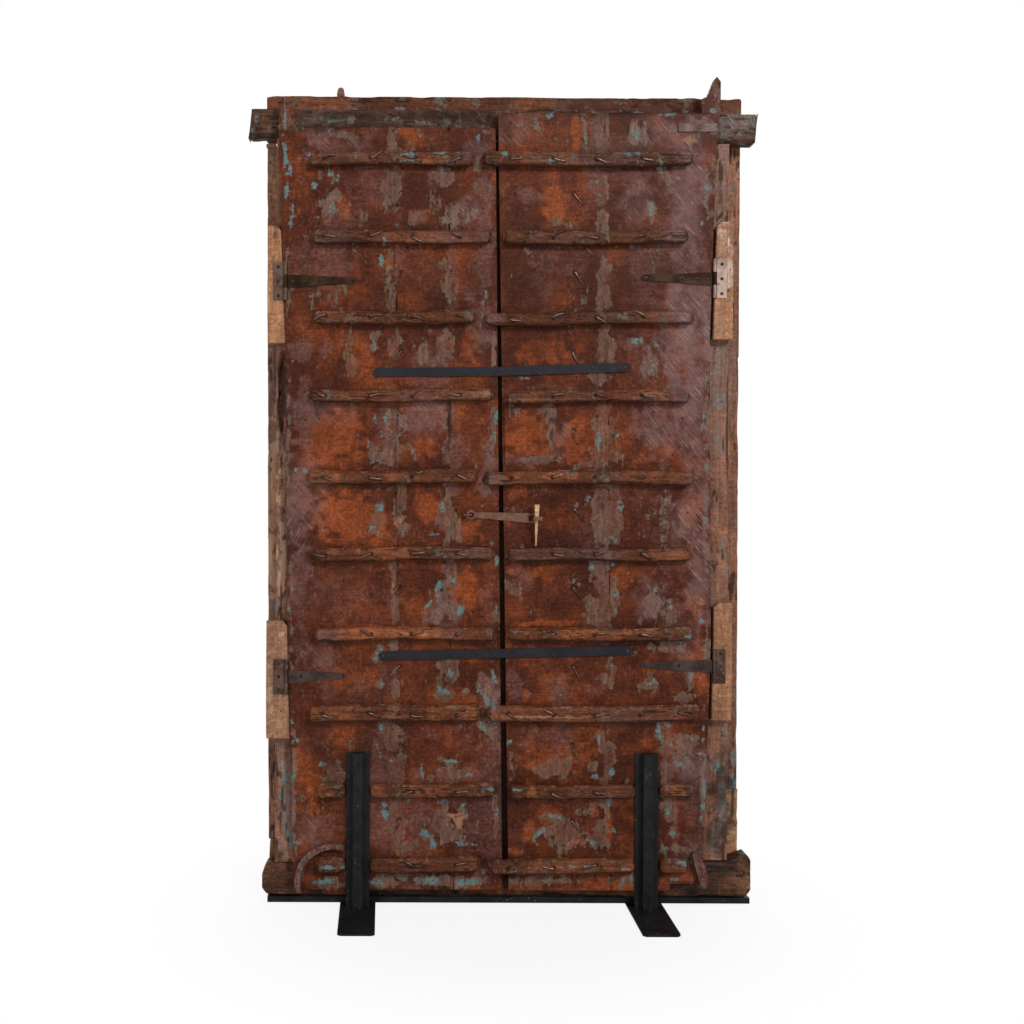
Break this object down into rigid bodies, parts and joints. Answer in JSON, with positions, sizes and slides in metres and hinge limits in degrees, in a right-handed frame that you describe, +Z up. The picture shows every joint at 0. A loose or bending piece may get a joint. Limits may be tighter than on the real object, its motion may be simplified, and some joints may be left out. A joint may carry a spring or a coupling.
{
  "type": "studded double door in frame",
  "caption": "Old hewn-plank double door with battens and studs, in its timber frame, on a steel display stand with strap-locked leaves and a peg-locked hasp.",
  "frame": {"origin": "middle of the bounding box in X and Y, on the floor under the stand's feet", "axes": "+Z up; the battened inner face looks to -Y and the studded outer face to +Y; +X runs to the right seen from the inner face"},
  "size_m": [1.432, 0.576, 2.315],
  "materials": {
    "painted_wood": "old oxide-red paint, worn through to bare wood and to remnants of turquoise",
    "frame_wood": "weathered and stained timber with remnants of red paint",
    "raw_wood": "bare timber, oiled and darkened",
    "old_iron": "forged iron with dull rust and remnants of paint",
    "hinge_steel": "dull plated steel, partly rusted",
    "brass": "aged brass with dark patina",
    "black_steel": "blackened steel with a waxed sheen"
  },
  "bodies": {
    "door": {"batten_row_01": "painted_wood", "batten_row_02": "painted_wood", "batten_row_03": "painted_wood", "batten_row_04": "painted_wood", "batten_row_05": "painted_wood", "batten_row_06": "painted_wood", "batten_row_07": "painted_wood", "batten_row_08": "painted_wood", "batten_row_09": "painted_wood", "batten_row_10": "painted_wood", "brass_studs": "brass", "casing_foot_left": "raw_wood", "casing_foot_right": "raw_wood", "casing_head": "frame_wood", "casing_left": "frame_wood", "casing_right": "frame_wood", "casing_shim": "raw_wood", "clenched_nails": "old_iron", "cross_strap_lower": "black_steel", "cross_strap_upper": "black_steel", "eye_staple": "old_iron", "foot_left": "black_steel", "foot_right": "black_steel", "hasp": "old_iron", "hinge_pins": "hinge_steel", "hinge_plate_lower_left": "hinge_steel", "hinge_plate_lower_right": "hinge_steel", "hinge_plate_upper_left": "hinge_steel", "hinge_plate_upper_right": "hinge_steel", "hinge_strap_lower_left": "old_iron", "hinge_strap_lower_right": "old_iron", "hinge_strap_upper_left": "old_iron", "hinge_strap_upper_right": "old_iron", "iron_band": "old_iron", "jamb_left": "frame_wood", "jamb_right": "frame_wood", "left_plank_inner": "painted_wood", "left_plank_middle": "painted_wood", "left_stile": "painted_wood", "lintel": "frame_wood", "lock_staple": "old_iron", "meeting_post": "painted_wood", "packing_block_lower_left": "raw_wood", "packing_block_lower_right": "raw_wood", "packing_block_upper_left": "raw_wood", "packing_block_upper_right": "raw_wood", "pivot_knee_left": "painted_wood", "pivot_knee_right": "painted_wood", "right_plank_inner": "painted_wood", "right_stile": "painted_wood", "screws": "hinge_steel", "sill": "frame_wood", "stand_rail": "black_steel", "top_lug": "old_iron", "upright_left": "black_steel", "upright_right": "black_steel"},
    "peg": {"lock_peg": "raw_wood"}
  },
  "joints": [
    {"name": "peg_slide", "type": "slide", "parent": "door", "child": "peg", "axis": [0, -0.2079, 0.9781], "range_m": [0, 0.13]}
  ]
}
